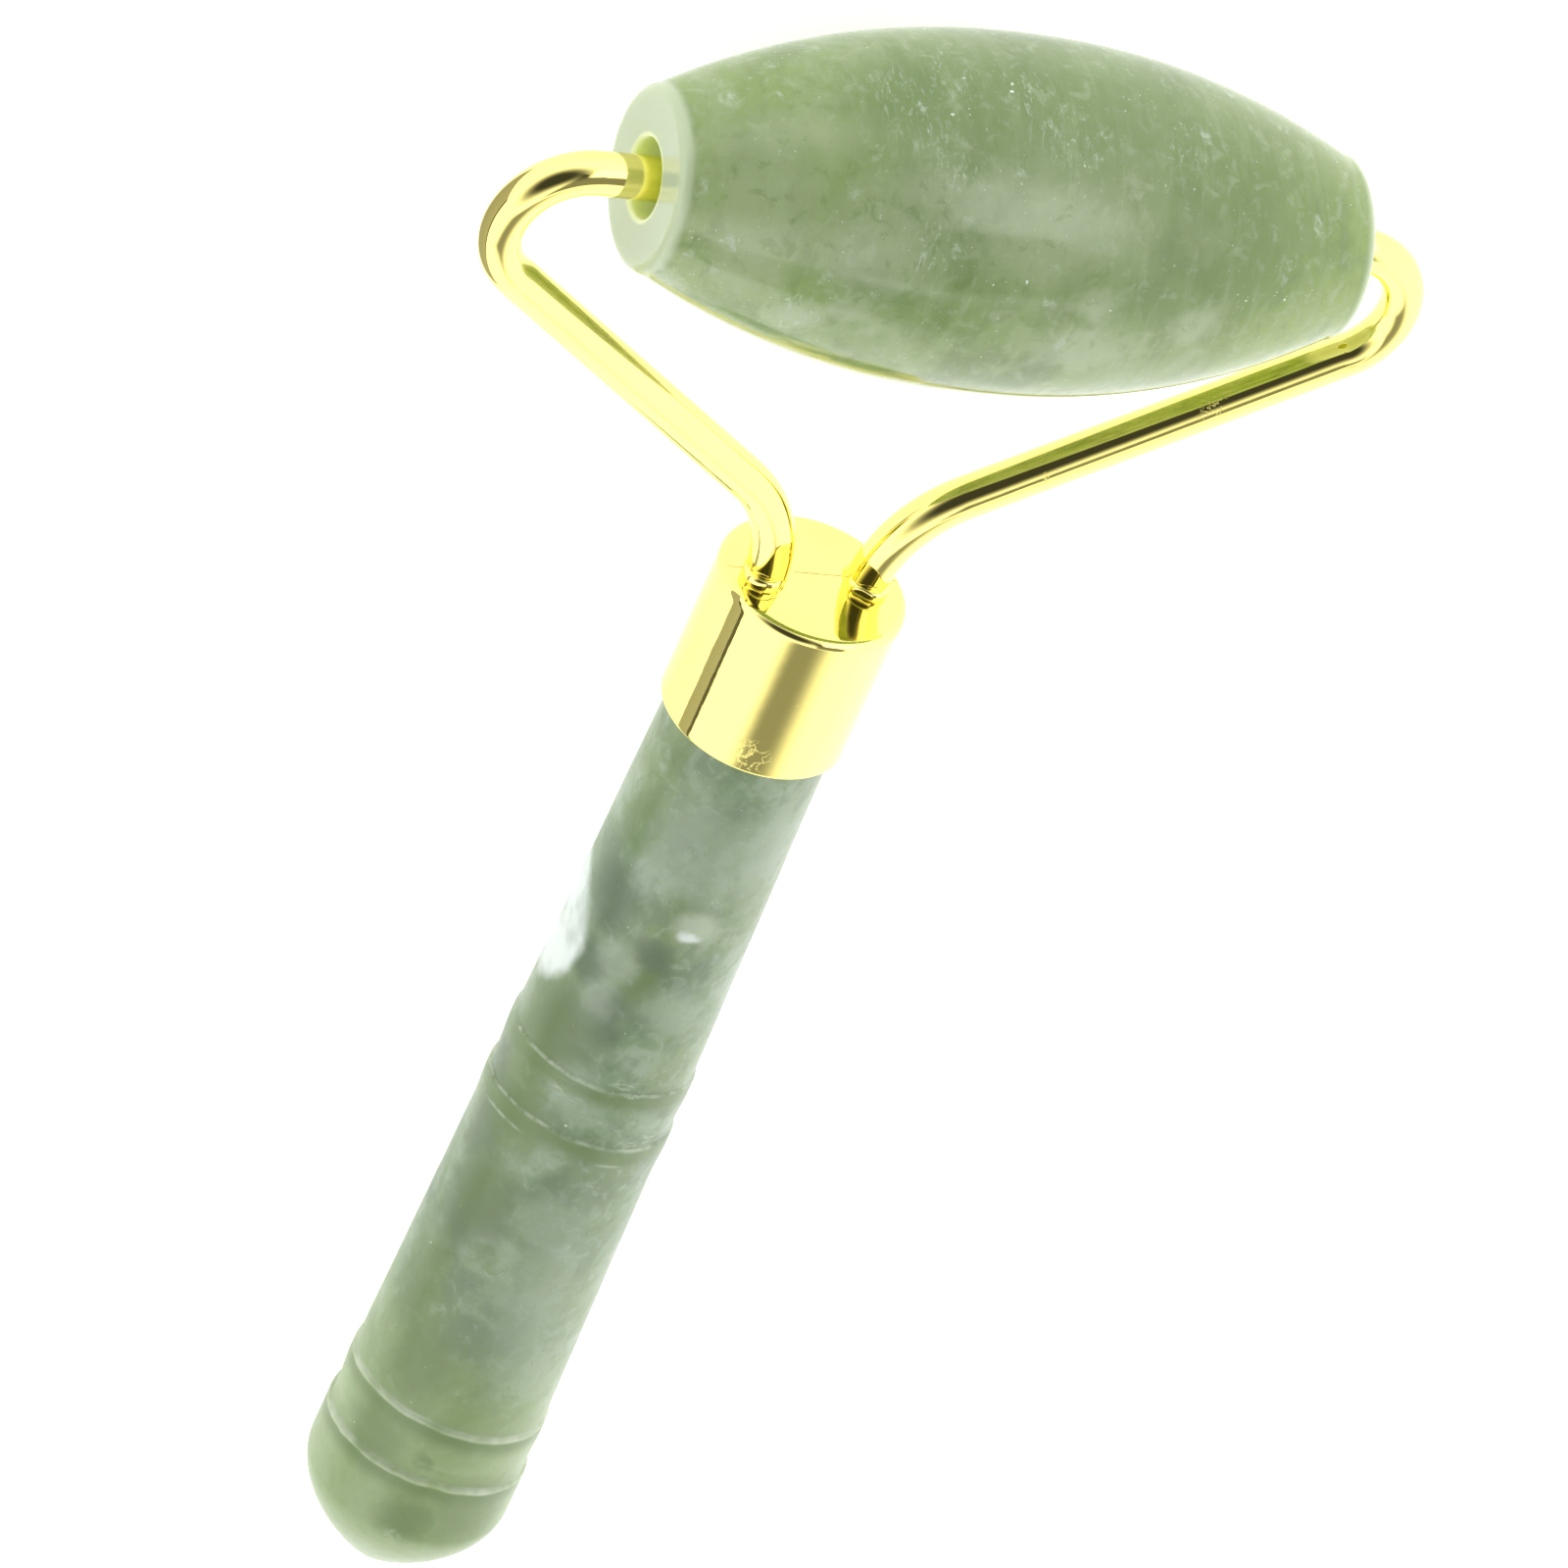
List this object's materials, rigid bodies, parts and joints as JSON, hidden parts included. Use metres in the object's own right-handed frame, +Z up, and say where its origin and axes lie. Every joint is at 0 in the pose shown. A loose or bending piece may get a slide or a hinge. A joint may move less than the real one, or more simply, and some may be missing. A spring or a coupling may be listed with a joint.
{
  "type": "jade face roller",
  "caption": "Hand-held facial massager: a barrel-shaped stone spins freely between two gilt wire arms set in a ferrule on a tapered, ringed stone handle.",
  "frame": {"origin": "on the table that the roller lies on, under the middle of the whole object's box", "axes": "+X along the roller stone's axis, +Y along the handle from its tip towards the roller stone, +Z up from the table"},
  "size_m": [0.0676, 0.1384, 0.0238],
  "materials": {
    "roller_jade": "polished translucent green jade with pale cloudy patches",
    "handle_jade": "polished translucent grey-green jade with darker and paler patches",
    "gilt_wire": "bright gold-plated wire",
    "gilt_solder": "gold-plated solder bead",
    "gilt_ferrule": "mirror-polished gold plating",
    "nylon": "natural nylon",
    "epoxy": "set epoxy glue"
  },
  "bodies": {
    "handle": {"handle_stone": "handle_jade", "ferrule": "gilt_ferrule", "glue": "epoxy", "solder_left": "gilt_solder", "solder_right": "gilt_solder", "arm_left": "gilt_wire", "arm_right": "gilt_wire"},
    "roller": {"roller_stone": "roller_jade", "bush_left": "nylon", "bush_right": "nylon"}
  },
  "joints": [
    {"name": "roller_spin", "type": "hinge", "parent": "handle", "child": "roller", "pos_m": [0, 0.0573, 0.0119], "axis": [1, 0, 0], "continuous": true}
  ]
}
